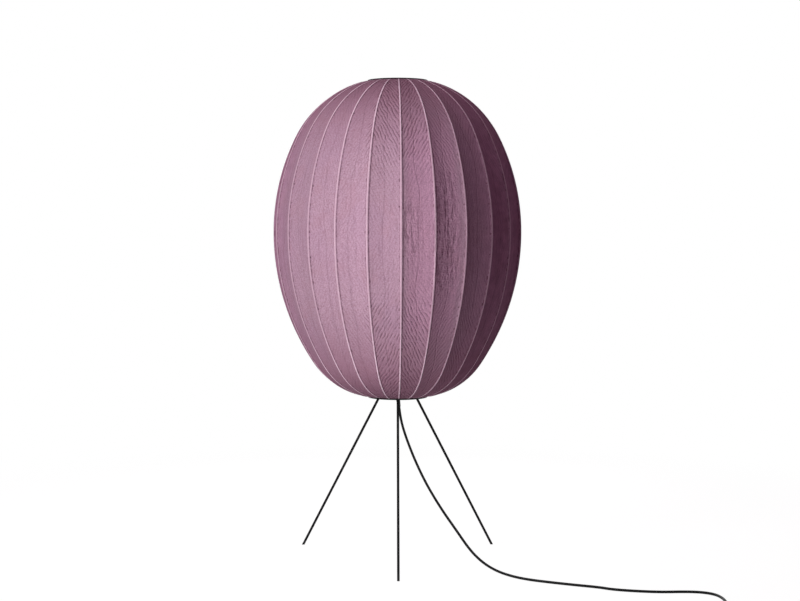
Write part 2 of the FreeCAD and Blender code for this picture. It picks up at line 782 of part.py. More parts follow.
def make_foot_switch():
    """Foot switch lying along X: base, cover, button with its stem, spring, contacts and screws."""
    base = hollow_block(0, switch_base_height, switch_wall, switch_base_height)
    cover = hollow_block(switch_base_height, switch_height, switch_base_height, cover_floor_z)
    top_edges = [e for e in cover.Edges if e.BoundBox.ZMin > switch_height - switch_wall / 2]
    cover = cover.makeFillet(switch_top_round, top_edges)
    flange_top = cover_floor_z - button_clearance
    flange_z = flange_top - button_flange_height
    seat_z = switch_wall + spring_seat_height
    base = base.fuse(tube(spring_radius + spring_wire, spring_radius - spring_wire, switch_wall, seat_z))
    boss_places = [switch_screw_place, (-switch_screw_place[0], -switch_screw_place[1])]
    screw = slotted_screw(switch_screw_radius, switch_screw_length, switch_screw_head_radius,
                          switch_screw_head_height, screw_slot_width, screw_slot_depth)
    head_top = switch_screw_head_height + end_gap
    screws = []
    for x, y in boss_places:
        base = base.fuse(moved(Part.makeCylinder(switch_boss_radius, switch_base_height), x, y, 0))
        top_boss = Part.makeCylinder(switch_boss_radius, switch_height - switch_base_height - switch_wall)
        cover = cover.fuse(moved(top_boss, x, y, switch_base_height))
        screws.append(moved(screw, x, y, head_top))
        hole = Part.makeCylinder(switch_screw_radius + thread_clearance, switch_screw_length + end_gap)
        head = Part.makeCylinder(switch_screw_head_radius + thread_clearance, head_top)
        base = base.cut([moved(hole, x, y, head_top), moved(head, x, y, 0)])
        cover = cover.cut(moved(hole, x, y, head_top))
    half = switch_length / 2
    for side in (-1, 1):
        start = Vector(side * (half - switch_wall / 2), 0, switch_cord_z)
        nub = Part.makeCone(switch_nub_root, switch_nub_tip, switch_nub_length, start, Vector(side, 0, 0))
        base = base.fuse(nub)
    for side in (-1, 1):
        outside = Vector(side * switch_length, 0, switch_cord_z)
        grip_end = Vector(side * (half - switch_grip), 0, switch_cord_z)
        base = base.cut(rod(cord_hole, outside, grip_end))
    cover = cover.cut(Part.makeCylinder(button_radius + button_clearance, switch_height))
    button = turned([
        (0, button_stem_end_z),
        (button_stem_radius, button_stem_end_z),
        (button_stem_radius, flange_z),
        (button_flange_radius, flange_z),
        (button_flange_radius, flange_top),
        (button_radius, flange_top),
        (button_radius, switch_height + button_stand - button_round),
        (button_radius - button_round, switch_height + button_stand),
        (0, switch_height + button_stand),
    ])
    low = seat_z + spring_gap + spring_wire / 2
    high = flange_z - spring_gap - spring_wire / 2
    rise = (high - low) / spring_turns
    spring = swept(helix_edges(spring_radius, low, rise, spring_turns), spring_wire / 2)
    print("switch spring least gap to itself %.2f" % (rise - spring_wire))
    contacts = []
    for side in (-1, 1):
        near, far = sorted(side * reach for reach in contact_reach)
        edge = contact_width / 2
        foot = box(near, far, -edge, edge, switch_wall, switch_wall + contact_thickness)
        tab_ends = (contact_reach[0], contact_reach[0] + contact_thickness)
        near, far = sorted(side * reach for reach in tab_ends)
        tab = box(near, far, -edge, edge, switch_wall, switch_wall + contact_tab_height)
        contacts.append(foot.fuse(tab).removeSplitter())
    pieces = {
        "switch_base": base.removeSplitter(),
        "switch_cover": cover.removeSplitter(),
        "switch_button": button,
        "switch_spring": spring,
        "switch_contacts": Part.makeCompound(contacts),
        "switch_screws": Part.makeCompound(screws),
    }
    for name, piece in pieces.items():
        keep(name, moved(piece, switch_place[0], switch_place[1], 0))


def quarter_nodes(place, count):
    """Points and ways of a winding at every quarter turn; place gives the point after some turns."""
    small = 1e-4
    nodes = []
    for index in range(count + 1):
        turns = index / 4
        way = place(turns + small) - place(turns - small)
        nodes.append((place(turns), way.normalize()))
    return nodes


def winding_edges(nodes):
    """Pairs of arcs through points and ways."""
    edges = []
    for (start, start_way), (end, end_way) in zip(nodes, nodes[1:]):
        edges += biarc(start, start_way, end, end_way)
    return edges


def helix_edges(radius, z0, rise, turns):
    """Even helix about the Z axis."""
    def place(t):
        return Vector(radius * math.cos(2 * math.pi * t), radius * math.sin(2 * math.pi * t), z0 + rise * t)
    return winding_edges(quarter_nodes(place, turns * 4))


def coil_heights():
    """Heights of the coil's two layers, the lower one lying on the tie."""
    low = tie_thickness + tie_gap + cord_radius
    return low, low + coil_step


def coil_place_at(turns):
    """Point of the coil: in on the lower layer, up over part of a turn, out on the upper layer."""
    low, high = coil_heights()
    middle = coil_turns / 2
    radius = coil_inner_radius + coil_step * abs(turns - middle)
    climb = min(1.0, max(0.0, (turns - middle) / coil_climb_turns + 0.5))
    height = low + (high - low) * climb * climb * (3 - 2 * climb)
    angle = math.pi / 2 + 2 * math.pi * turns
    x = coil_place[0] + radius * math.cos(angle)
    y = coil_place[1] + radius * math.sin(angle)
    return Vector(x, y, height)


def make_cord_coil():
    """Spare cord in one tube: out of the switch, round the coil in two layers, and into the plug."""
    nodes = quarter_nodes(coil_place_at, int(4 * coil_turns))
    along = Vector(-1, 0, 0)
    first = nodes[0][0]
    last = nodes[-1][0]
    start = Vector(switch_place[0] - switch_length / 2 + switch_grip, switch_place[1], switch_cord_z)
    lead = Vector(start.x - switch_grip - switch_nub_length - cord_diameter, start.y, switch_cord_z)
    tail = Vector(plug_start_x - cord_diameter, last.y, plug_height / 2)
    end = Vector(plug_start_x + plug_grip, last.y, plug_height / 2)
    nodes[0] = (first, along)
    nodes[-1] = (last, -along)
    edges = [Part.LineSegment(start, lead).toShape()]
    edges += biarc(lead, along, first, along)
    edges += winding_edges(nodes)
    edges += biarc(last, -along, tail, -along)
    edges.append(Part.LineSegment(tail, end).toShape())
    coil = swept(edges, cord_radius)
    length = sum(edge.Length for edge in edges)
    print("coil length %.1f, least gap to itself %.2f" % (length, least_gap(edges)))
    full = math.pi * cord_radius ** 2 * length
    print("coil volume over section times length %.5f" % (coil.Volume / full))
    keep("cord_coil", coil)
    return last.y


def least_gap(edges):
    """Least clear gap between parts of a winding that lie well apart along it, measured on points."""
    points = []
    run = 0.0
    for edge in edges:
        count = max(2, int(edge.Length / gap_probe_step))
        for point in edge.discretize(Number=count)[:-1]:
            if points:
                run += (point - points[-1][1]).Length
            points.append((run, point))
    gap = math.inf
    for index, (run, point) in enumerate(points):
        later = [other for other_run, other in points[index + 1:] if other_run - run > gap_probe_apart]
        gap = min([gap] + [(point - other).Length for other in later])
    return gap - cord_diameter


def make_coil_tie():
    """Flat strap round the turns of the coil."""
    inner = coil_inner_radius - cord_radius
    near = math.sqrt(inner ** 2 - (tie_width / 2) ** 2) - coil_step / 4 - tie_gap
    far = coil_outer_radius + cord_radius + tie_gap
    low = tie_thickness
    high = coil_heights()[1] + cord_radius + tie_gap
    half = tie_width / 2
    outside = box(near - tie_thickness, far + tie_thickness, -half, half, 0, high + tie_thickness)
    strap = outside.cut(box(near, far, -tie_width, tie_width, low, high))
    keep("coil_tie", moved(rotated(strap, tie_angle), coil_place[0], coil_place[1], 0))


def make_plug(y):
    """Flat two-pin plug lying on the floor, with a tapered strain relief and pins towards +X."""
    z = plug_height / 2
    body_x = plug_start_x + plug_relief_length
    nose_x = body_x + plug_length
    outline = [
        (body_x, -plug_relief_root),
        (body_x + plug_edge, -plug_width / 2 + plug_edge),
        (body_x + plug_tail_taper, -plug_width / 2),
        (nose_x - plug_nose_land, -plug_nose_width / 2),
        (nose_x, -plug_nose_width / 2),
        (nose_x, plug_nose_width / 2),
        (nose_x - plug_nose_land, plug_nose_width / 2),
        (body_x + plug_tail_taper, plug_width / 2),
        (body_x + plug_edge, plug_width / 2 - plug_edge),
        (body_x, plug_relief_root),
    ]
    corners = [Vector(px, y + py, 0) for px, py in outline]
    body = Part.Face(Part.makePolygon(corners + corners[:1])).extrude(Vector(0, 0, plug_height))
    flat = [e for e in body.Edges if e.BoundBox.ZLength < plug_edge / 2]
    body = body.makeChamfer(plug_edge / 2, flat)
    cone = Part.makeCone(plug_relief_tip, plug_relief_root, plug_relief_length + plug_edge,
                         Vector(plug_start_x, y, z), Vector(1, 0, 0))
    body = body.fuse(cone)
    cord_end = Vector(plug_start_x + plug_grip + end_gap, y, z)
    body = body.cut(rod(cord_hole, Vector(plug_start_x - plug_edge, y, z), cord_end))
    pins = []
    for side in (-1, 1):
        pin_y = y + side * pin_spacing / 2
        root = Vector(nose_x - pin_depth, pin_y, z)
        face = Vector(nose_x, pin_y, z)
        body = body.cut(rod(pin_root_diameter / 2 + pin_clearance, root - Vector(end_gap, 0, 0), face))
        pin = rod(pin_diameter / 2, face, face + Vector(pin_length, 0, 0))
        tip = [e for e in pin.Edges if e.BoundBox.XMin > nose_x + pin_length / 2]
        shank = rod(pin_root_diameter / 2, root, face)
        pins.append(pin.makeFillet(pin_round, tip).fuse(shank))
    keep("plug_body", body.removeSplitter())
    keep("plug_pins", Part.makeCompound(pins))


def make_all():
    """Builds every piece and writes one file each."""
    make_ribs()
    make_knit_cover()
    make_top_ring()
    make_base_plate()
    make_hub()
    make_legs()
    make_hub_screws()
    make_stem()
    make_lampholder()
    make_bulb()
    make_lamp_cord()
    make_foot_switch()
    plug_y = make_cord_coil()
    make_coil_tie()
    make_plug(plug_y)
    os.makedirs("parts", exist_ok=True)
    for name, shape in finished.items():
        if not shape.isValid():
            print("not valid:", name)
        shape.exportStep("parts/%s.step" % name)
    print("%d pieces written" % len(finished))


make_all()
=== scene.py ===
import bisect
import json
import math
from types import SimpleNamespace

import bmesh
import bpy
from mathutils import Matrix, Vector


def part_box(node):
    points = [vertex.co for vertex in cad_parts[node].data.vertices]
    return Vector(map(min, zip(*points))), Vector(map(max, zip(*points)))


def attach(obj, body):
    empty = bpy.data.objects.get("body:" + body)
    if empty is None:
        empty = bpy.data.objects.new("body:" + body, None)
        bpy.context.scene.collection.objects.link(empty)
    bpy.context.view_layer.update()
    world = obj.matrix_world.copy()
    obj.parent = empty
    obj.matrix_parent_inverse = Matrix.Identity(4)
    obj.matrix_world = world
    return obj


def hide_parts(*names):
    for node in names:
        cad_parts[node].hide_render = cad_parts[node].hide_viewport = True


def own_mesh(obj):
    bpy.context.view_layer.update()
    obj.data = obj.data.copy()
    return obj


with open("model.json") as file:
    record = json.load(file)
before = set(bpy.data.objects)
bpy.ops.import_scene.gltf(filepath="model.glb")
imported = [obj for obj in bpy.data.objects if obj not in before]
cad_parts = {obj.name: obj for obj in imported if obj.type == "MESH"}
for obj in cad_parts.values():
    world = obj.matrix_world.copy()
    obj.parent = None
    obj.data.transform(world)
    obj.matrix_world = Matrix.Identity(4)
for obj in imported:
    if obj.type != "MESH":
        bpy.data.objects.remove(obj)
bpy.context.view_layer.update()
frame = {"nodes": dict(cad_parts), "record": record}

# Knitted floor lamp, in metres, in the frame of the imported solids

# Shade, as in the part's source
shade_radius = 0.245
belly_z = 0.648
rib_count = 24
rib_turn = 1.3
top_rib_slope = 12.0
bottom_rib_slope = 7.2
upper_shoulder_share = 1.0
lower_shoulder_share = 0.5
cover_inside = 0.0016
cover_outside = 0.0026
cover_edge_radius = 0.0586
plate_top_z = 0.3224
rim_under_z = 0.9471
hem_lift = 0.0003

# Knitted cover
cover_thickness = 0.0010
gore_hollow_radius = 0.125
rib_arc_steps = 400
cover_rows = 100
columns_per_gore = 20
channel_columns = (0.0, 0.34, 0.64, 0.86, 1.0, 1.2, 1.6)
gore_columns = (0.14, 0.38, 0.68, 1.0)
channel_rises = (1.0, 0.95, 0.78, 0.45, 0.14, -0.06, -0.03, 0.0, 0.0, 0.0, 0.0)
channel_half_width_belly = 0.0031
channel_half_width_end = 0.0017
channel_rise_belly = 0.0013
channel_rise_end = 0.0009
channel_taper = (0.09, 0.30)
hem_fade = (0.002, 0.016)

# Knit, in metres; each range is measured along a rib from the belly
stitch_width = 0.0021
course_height = 0.0017
ripple_spacing = 0.0060
ripple_range = (0.060, 0.170)
streak_wander = 0.006
streak_range = (0.140, 0.260)
near_slack_range = (0.030, 0.075)
far_slack_range = (0.070, 0.140)
rib_line_range = (0.08, 0.24)
rib_line_half_belly = 0.0017
rib_line_half_end = 0.0010
rib_line_blur = 0.0002
seam_offset = 0.0010
seam_half_width = (0.0003, 0.0010)
tack_offset = 0.0016
tack_half_width = (0.0008, 0.0016)
tack_spacing = 0.047
# Painted shade: how far along the rib the redder yarn right of the front reaches
red_shade_range = (0.16, 0.27)
# Deeper plum towards the rings: partly denser knit, partly painted shade where the cover turns from the
# light
dense_knit_and_shade_range = (0.12, 0.34)
end_line_range = (0.12, 0.32)
scatter_radius = (0.010, 0.0072, 0.0086)

# Slack cloth beside two ribs, in metres: where it starts and ends sideways, and how far forward
near_slack_start = (0.005, 0.012)
near_slack_end = (0.026, 0.046)
far_slack_start = (0.062, 0.070)
far_slack_end = (0.092, 0.124)
slack_front = (0.15, 0.20)
least_forward = 0.001

# Knit, as shares and an angle; a front, start or end is sideways over forward
ripple_front = (0.26, 0.36)
# Painted shade: where the redder yarn right of the front starts and ends sideways
red_shade_start = (0.03, 0.10)
red_shade_end = (0.50, 0.60)
fold_wander = 1.4
fold_half_width = (0.01, 0.075)
ripple_run = 0.89
ripple_lean = 0.45
streak_stretch = 0.07
tack_half_length = (0.024, 0.052)
# Side the light comes from: the knit is painted paler facing it and richer, as shade, facing away
lit_side = math.radians(-15.0)

# Yarns and their mottling
pale_yarn_dark = (0.300, 0.172, 0.234)
pale_yarn_light = (0.575, 0.376, 0.474)
# Painted shade: a richer, darker copy of the yarn for the side away from the light
shaded_yarn_dark = (0.330, 0.148, 0.238)
shaded_yarn_light = (0.510, 0.242, 0.378)
# Painted shade: redder yarn right of the front round the belly, where the light gives way to shade
red_shade_yarn_dark = (0.400, 0.186, 0.290)
red_shade_yarn_light = (0.740, 0.376, 0.565)
belly_line_dark = (0.480, 0.300, 0.385)
belly_line_light = (0.620, 0.425, 0.520)
end_line_dark = (0.800, 0.545, 0.670)
end_line_light = (0.960, 0.720, 0.845)
# Dark yarn: painted shade in the knit's hollows, and the dark stitches beside the ribs
shade_and_stitch_dark = (0.090, 0.034, 0.056, 1.0)
# Deeper plum towards the rings: partly denser knit, partly painted shade where the cover turns from the
# light
dense_knit_and_shade_plum = (0.305, 0.142, 0.203, 1.0)
mauve = (0.420, 0.255, 0.372, 1.0)
rose = (0.430, 0.245, 0.305, 1.0)
aubergine = (0.270, 0.130, 0.180, 1.0)

# Cord
cord_diameter = 0.005
lamp_cord_route = [
    (0.0027, -0.0025, 0.3003),
    (0.0053, -0.0050, 0.2807),
    (0.0100, -0.0093, 0.2600),
    (0.0204, -0.0190, 0.2300),
    (0.0363, -0.0339, 0.1920),
    (0.0580, -0.0541, 0.1495),
    (0.0865, -0.0807, 0.1060),
    (0.1135, -0.1058, 0.0710),
    (0.1380, -0.1287, 0.0380),
    (0.1615, -0.1506, 0.0180),
    (0.1870, -0.1744, 0.0068),
    (0.2140, -0.1996, 0.0026),
    (0.2425, -0.2280, 0.0026),
    (0.2848, -0.2522, 0.0026),
    (0.3267, -0.2730, 0.0026),
    (0.3660, -0.2905, 0.0026),
    (0.3890, -0.3085, 0.0026),
    (0.4296, -0.3215, 0.0026),
    (0.4720, -0.3290, 0.0026),
    (0.5160, -0.3260, 0.0026),
    (0.5450, -0.3300, 0.0026),
    (0.5660, -0.3460, 0.0026),
    (0.5740, -0.3740, 0.0026),
    (0.5740, -0.4100, 0.0026),
    (0.5720, -0.4480, 0.0026),
    (0.5600, -0.4820, 0.0028),
    (0.5380, -0.5060, 0.0050),
    (0.5230, -0.5060, 0.0050),
    (0.5050, -0.5060, 0.0050),
]

# Spring of the foot switch
spring_wire = 0.0008
spring_turns = 5
spring_steps_per_turn = 36
spring_sides = 10

# Strap round the coil
strap_thickness = 0.0009
strap_corner = 0.0028
strap_edge = 0.0002
tail_length = 0.015
tail_width_share = 0.96
tail_shift = -0.003
tail_round = 0.0025

# Coil of the spare cord
coil_centre = (0.395, -0.547)
coil_inner_radius = 0.020
coil_step = 0.0056
coil_turns = 7.5
coil_climb_turns = 0.5
coil_low_z = 0.0038
coil_points_per_turn = 20
coil_lead_in = [
    (0.451, -0.506, 0.0050),
    (0.440, -0.506, 0.0050),
    (0.428, -0.506, 0.0050),
    (0.412, -0.506, 0.0043),
]
coil_lead_out = [
    (0.411, -0.588, 0.0088),
    (0.425, -0.588, 0.0076),
    (0.437, -0.588, 0.0070),
    (0.453, -0.588, 0.0070),
]

# Studio
fill_colour = (1.0, 0.53, 0.80, 1.0)
fill_strength = 0.145
floor_half_size = 8.0
floor_fade = (0.9, 1.7)
floor_paper = (0.45, 0.45, 0.45, 1.0)
floor_glow = (0.955, 0.955, 0.955, 1.0)
floor_shadow = (0.12, 0.12, 0.12, 1.0)
white_colour = (1.0, 1.0, 1.0, 1.0)


# Camera
def place_camera():
    """The camera, fitted to the feet, the rings and the outline of the shade."""
    distance = 3.150
    height = 0.665
    aside = -0.0161
    pitch = math.radians(2.77)
    pan = math.radians(0.375)
    focal_pixels = 1584.0
    picture_width = 800.0
    data = bpy.data.cameras.new("photo_camera")
    data.sensor_width = 36.0
    data.lens = focal_pixels * data.sensor_width / picture_width
    data.clip_end = 50.0
    camera = bpy.data.objects.new("photo_camera", data)
    camera.location = (aside, -distance, height)
    camera.rotation_euler = (math.pi / 2 - pitch, 0.0, -pan)
    bpy.context.scene.collection.objects.link(camera)
    bpy.context.scene.camera = camera


# Node helpers
def new_finish(name):
    """A material with its node tree and its shader."""
    material = bpy.data.materials.new(name)
    material.use_nodes = True
    tree = material.node_tree
    return material, tree, tree.nodes["Principled BSDF"]


def wire(tree, value, socket):
    """Links an output or sets a plain value on an input."""
    if isinstance(value, bpy.types.NodeSocket):
        tree.links.new(value, socket)
    else:
        socket.default_value = value


def calc(tree, operation, first, second=0.0):
    """One step of arithmetic on sockets or numbers."""
    made = tree.nodes.new("ShaderNodeMath")
    made.operation = operation
    for socket, value in zip(made.inputs, (first, second)):
        wire(tree, value, socket)
    return made.outputs[0]


def times(tree, product, *others):
    """Product of sockets and numbers."""
    for other in others:
        product = calc(tree, "MULTIPLY", product, other)
    return product


def plus(tree, total, *others):
    """Sum of sockets and numbers."""
    for other in others:
        total = calc(tree, "ADD", total, other)
    return total


def apart(tree, first, second):
    """How far apart two values are."""
    return calc(tree, "ABSOLUTE", calc(tree, "SUBTRACT", first, second))


def ease(tree, value, low, high, to_low=0.0, to_high=1.0):
    """A smooth step of a value between two limits."""
    made = tree.nodes.new("ShaderNodeMapRange")
    made.interpolation_type = "SMOOTHSTEP"
    for key, given in (("Value", value), ("From Min", low), ("From Max", high),
                       ("To Min", to_low), ("To Max", to_high)):
        wire(tree, given, made.inputs[key])
    return made.outputs["Result"]


def object_place(tree):
    """Place on the piece, in metres."""
    return tree.nodes.new("ShaderNodeTexCoord").outputs["Object"]


def stretched(tree, vector, scale):
    """A place scaled along each axis."""
    made = tree.nodes.new("ShaderNodeMapping")
    made.inputs["Scale"].default_value = scale
    tree.links.new(vector, made.inputs["Vector"])
    return made.outputs["Vector"]


def grain(tree, vector, scale, detail=2.0, roughness=0.5):
    """Noise of a given scale at a place."""
    made = tree.nodes.new("ShaderNodeTexNoise")
    made.inputs["Scale"].default_value = scale
    made.inputs["Detail"].default_value = detail
    made.inputs["Roughness"].default_value = roughness
    tree.links.new(vector, made.inputs["Vector"])
    return made.outputs["Fac"]


def shade_between(tree, share, dark, light, low=0.0, high=1.0):
    """A colour between two colours as a share goes from low to high."""
    made = tree.nodes.new("ShaderNodeValToRGB")
    first, second = made.color_ramp.elements
    first.position = low
    second.position = high
    first.color = (*dark, 1.0)
    second.color = (*light, 1.0)
    tree.links.new(share, made.inputs["Fac"])
    return made.outputs["Color"]


def blend_colours(tree, share, under, over):
    """One colour over another."""
    made = tree.nodes.new("ShaderNodeMix")
    made.data_type = "RGBA"
    wire(tree, share, made.inputs["Factor"])
    wire(tree, under, made.inputs["A"])
    wire(tree, over, made.inputs["B"])
    return made.outputs["Result"]


def relief(tree, shader, height, depth):
    """Bump of a height times a depth in metres."""
    made = tree.nodes.new("ShaderNodeBump")
    made.inputs["Strength"].default_value = 1.0
    made.inputs["Distance"].default_value = depth
    tree.links.new(height, made.inputs["Height"])
    tree.links.new(made.outputs["Normal"], shader.inputs["Normal"])


def plain_finish(name, dark, light, rough, metal=0.0, specular=0.5, mottle=60.0, grit=900.0, depth=0.00003,
                 stretch=(1.0, 1.0, 1.0)):
    """A rigid finish: mottled colour, uneven gloss and a fine grit in the surface."""
    material, tree, shader = new_finish(name)
    place = stretched(tree, object_place(tree), stretch)
    cloud = grain(tree, place, mottle, 4.0, 0.6)
    fine = grain(tree, place, grit, 2.0, 0.5)
    wire(tree, shade_between(tree, cloud, dark, light, 0.3, 0.7), shader.inputs["Base Color"])
    wire(tree, ease(tree, cloud, 0.3, 0.7, *rough), shader.inputs["Roughness"])
    shader.inputs["Metallic"].default_value = metal
    shader.inputs["Specular IOR Level"].default_value = specular
    relief(tree, shader, fine, depth)
    return material


# Knit
def knit_places(tree):
    """Where a point lies on its gore and round the lamp, with the noise that several looks share."""
    across, along = gore_coordinates(tree)
    place = object_place(tree)
    parts = tree.nodes.new("ShaderNodeSeparateXYZ")
    tree.links.new(place, parts.inputs["Vector"])
    backward = parts.outputs["Y"]
    return SimpleNamespace(
        across=across,
        along=along,
        place=place,
        sideways=parts.outputs["X"],
        backward=backward,
        forward=calc(tree, "MAXIMUM", times(tree, backward, -1.0), least_forward),
        rib_distance=attribute(tree, "rib_distance"),
        belly_distance=calc(tree, "ABSOLUTE", along),
        fine=grain(tree, place, 700.0),
        heather=grain(tree, place, 380.0, 3.0, 0.7),
        patch=grain(tree, place, 60.0),
        sway=grain(tree, place, 22.0),
    )


def knit_stitches(tree, at):
    """Upright columns of small chevrons, with a furrow between columns."""
    column = times(tree, at.rib_distance, 1.0 / stitch_width)
    lean = apart(tree, calc(tree, "FRACT", column), 0.5)
    course = times(tree, at.along, 1.0 / course_height)
    loops = calc(tree, "SINE", times(tree, plus(tree, course, lean), 2.0 * math.pi))
    furrow = times(tree, calc(tree, "POWER", times(tree, lean, 2.0), 3.0), -1.0)
    return plus(tree, times(tree, loops, 0.35), furrow)


def knit_ripples(tree, at):
    """Ripples off the belly, leaning the other way in each next gore: creases, and a faint feather."""
    bend = plus(tree, times(tree, at.sway, 2.2), times(tree, at.patch, 0.8))
    ripple_across = times(tree, at.across, ripple_run / ripple_spacing)
    ripple_along = times(tree, at.belly_distance, -ripple_lean / ripple_spacing)
    turns = plus(tree, ripple_across, ripple_along, bend)
    ridge = calc(tree, "ABSOLUTE", calc(tree, "SINE", times(tree, turns, math.pi)))
    crease = calc(tree, "SUBTRACT", 1.0, ridge)
    broken = ease(tree, grain(tree, at.place, 85.0), 0.34, 0.58, 0.25, 1.0)
    turn_from_front = calc(tree, "DIVIDE", calc(tree, "ABSOLUTE", at.sideways), at.forward)
    # Strongest on the front gores, where the light grazes them, and so is the shade painted into their
    # creases
    front_share = ease(tree, turn_from_front, *ripple_front, 1.0, 0.36)
    creases = times(tree, crease, ease(tree, at.belly_distance, *ripple_range), broken, front_share)
    feather = times(tree, ease(tree, crease, 0.30, 0.95, 0.0, 0.15), broken)
    return creases, feather


def knit_wrinkles(tree, at):
    """Upright streaks round the belly, and deeper wrinkles beside two ribs where the cloth is slack."""
    upright = tree.nodes.new("ShaderNodeCombineXYZ")
    wire(tree, plus(tree, at.rib_distance, times(tree, at.sway, streak_wander)), upright.inputs["X"])
    wire(tree, times(tree, at.along, streak_stretch), upright.inputs["Y"])
    wire(tree, times(tree, at.across, 0.5), upright.inputs["Z"])
    upright = upright.outputs["Vector"]
    streaks = calc(tree, "SUBTRACT", grain(tree, upright, 210.0, 3.0, 0.6), 0.5)
    streaks = times(tree, streaks, ease(tree, at.belly_distance, *streak_range, 1.0, 0.2))
    near = times(tree, ease(tree, at.sideways, *near_slack_start),
                 ease(tree, at.sideways, *near_slack_end, 0.75, 0.18),
                 ease(tree, at.belly_distance, *near_slack_range, 1.0, 0.25))
    far = times(tree, ease(tree, at.sideways, *far_slack_start),
                ease(tree, at.sideways, *far_slack_end, 1.0, 0.0),
                ease(tree, at.belly_distance, *far_slack_range, 1.0, 0.1))
    slack = times(tree, calc(tree, "MAXIMUM", near, far), ease(tree, at.forward, *slack_front))
    pleats = grain(tree, stretched(tree, upright, (1.0, 5.0, 1.0)), 105.0, 3.0, 0.6)
    puckers = grain(tree, stretched(tree, upright, (0.30, 14.0, 0.30)), 190.0)
    pleat_share = 0.80
    pucker_share = 0.45
    uneven = plus(tree, times(tree, pleats, pleat_share), times(tree, puckers, pucker_share))
    middle = (pleat_share + pucker_share) / 2
    return streaks, times(tree, calc(tree, "SUBTRACT", uneven, middle), slack)


def knit_fold(tree, at):
    """One soft fold down each gore, wandering about its middle."""
    gore_half = plus(tree, at.rib_distance, calc(tree, "ABSOLUTE", at.across))
    wander = times(tree, calc(tree, "SUBTRACT", grain(tree, at.place, 7.0, 1.0), 0.5), fold_wander)
    from_fold = apart(tree, calc(tree, "DIVIDE", at.across, gore_half), wander)
    return ease(tree, from_fold, *fold_half_width, 1.0, 0.0)


def knit_channels(tree, at):
    """The pale line over each rib, and beside it a broken row of dark stitches and a few tacks."""
    half_line = ease(tree, at.belly_distance, *rib_line_range, rib_line_half_belly, rib_line_half_end)
    outside = calc(tree, "SUBTRACT", at.rib_distance, half_line)
    pale = ease(tree, outside, -rib_line_blur, rib_line_blur, 1.0, 0.0)
    row = ease(tree, apart(tree, outside, seam_offset), *seam_half_width, 1.0, 0.0)
    row_spots = ease(tree, grain(tree, at.place, 190.0, 1.0), 0.46, 0.62, 0.30, 1.0)
    tack_turns = plus(tree, calc(tree, "DIVIDE", at.along, tack_spacing), times(tree, at.sway, 0.9))
    tack_way = apart(tree, calc(tree, "FRACT", tack_turns), 0.5)
    tacks = times(tree, ease(tree, tack_way, *tack_half_length, 1.0, 0.0),
                  ease(tree, apart(tree, outside, tack_offset), *tack_half_width, 1.0, 0.0),
                  ease(tree, at.patch, 0.40, 0.60, 0.2, 1.0))
    return pale, calc(tree, "MAXIMUM", times(tree, row, row_spots, 0.8), tacks)


def plain_yarn(tree, at):
    """Heathered yarn with painted light and shade: palest facing the light at the front left and richer
    away from it, redder right of the front round the belly, and deeper plum towards the rings, partly for
    denser knit and partly as painted shade.
    """
    yarn = shade_between(tree, at.heather, pale_yarn_dark, pale_yarn_light, 0.25, 0.75)
    cloud = ease(tree, grain(tree, at.place, 9.0, 3.0), 0.35, 0.70, 0.0, 0.25)
    yarn = blend_colours(tree, cloud, yarn, mauve)
    flush = ease(tree, grain(tree, at.place, 26.0), 0.50, 0.72, 0.0, 0.30)
    yarn = blend_colours(tree, flush, yarn, rose)
    blotch = ease(tree, grain(tree, at.place, 110.0), 0.55, 0.80, 0.0, 0.22)
    yarn = blend_colours(tree, blotch, yarn, aubergine)
    # Painted light and shade: paler yarn facing the light at the front left, richer yarn facing away
    towards = plus(tree, times(tree, at.backward, -math.cos(lit_side)),
                   times(tree, at.sideways, math.sin(lit_side)))
    squares = plus(tree, calc(tree, "POWER", at.sideways, 2.0), calc(tree, "POWER", at.backward, 2.0))
    facing_lit_side = calc(tree, "DIVIDE", towards, calc(tree, "SQRT", squares))
    shaded_yarn = shade_between(tree, at.patch, shaded_yarn_dark, shaded_yarn_light, 0.30, 0.70)
    yarn = blend_colours(tree, ease(tree, facing_lit_side, 0.35, 0.80, 0.62, 0.0), yarn, shaded_yarn)
    # Painted shade: redder yarn right of the front round the belly, where the light gives way to shade
    side_turn = calc(tree, "DIVIDE", at.sideways, at.forward)
    red_shade_share = times(tree, ease(tree, side_turn, *red_shade_start), ease(tree, side_turn, *red_shade_end, 0.40, 0.0),
                   ease(tree, at.belly_distance, *red_shade_range, 1.0, 0.0))
    red_shade_yarn = shade_between(tree, at.heather, red_shade_yarn_dark, red_shade_yarn_light, 0.25, 0.75)
    yarn = blend_colours(tree, red_shade_share, yarn, red_shade_yarn)
    # Deeper plum towards the rings: partly the denser knit there, partly painted shade where the cover
    # turns away from the light
    return blend_colours(tree, ease(tree, at.belly_distance, *dense_knit_and_shade_range, 0.0, 0.72), yarn, dense_knit_and_shade_plum)


def rib_line_colour(tree, at):
    """Pale yarn over the ribs, paler towards the rings."""
    belly_line = shade_between(tree, at.fine, belly_line_dark, belly_line_light, 0.3, 0.7)
    end_line = shade_between(tree, at.fine, end_line_dark, end_line_light, 0.3, 0.7)
    return blend_colours(tree, ease(tree, at.belly_distance, *end_line_range), belly_line, end_line)


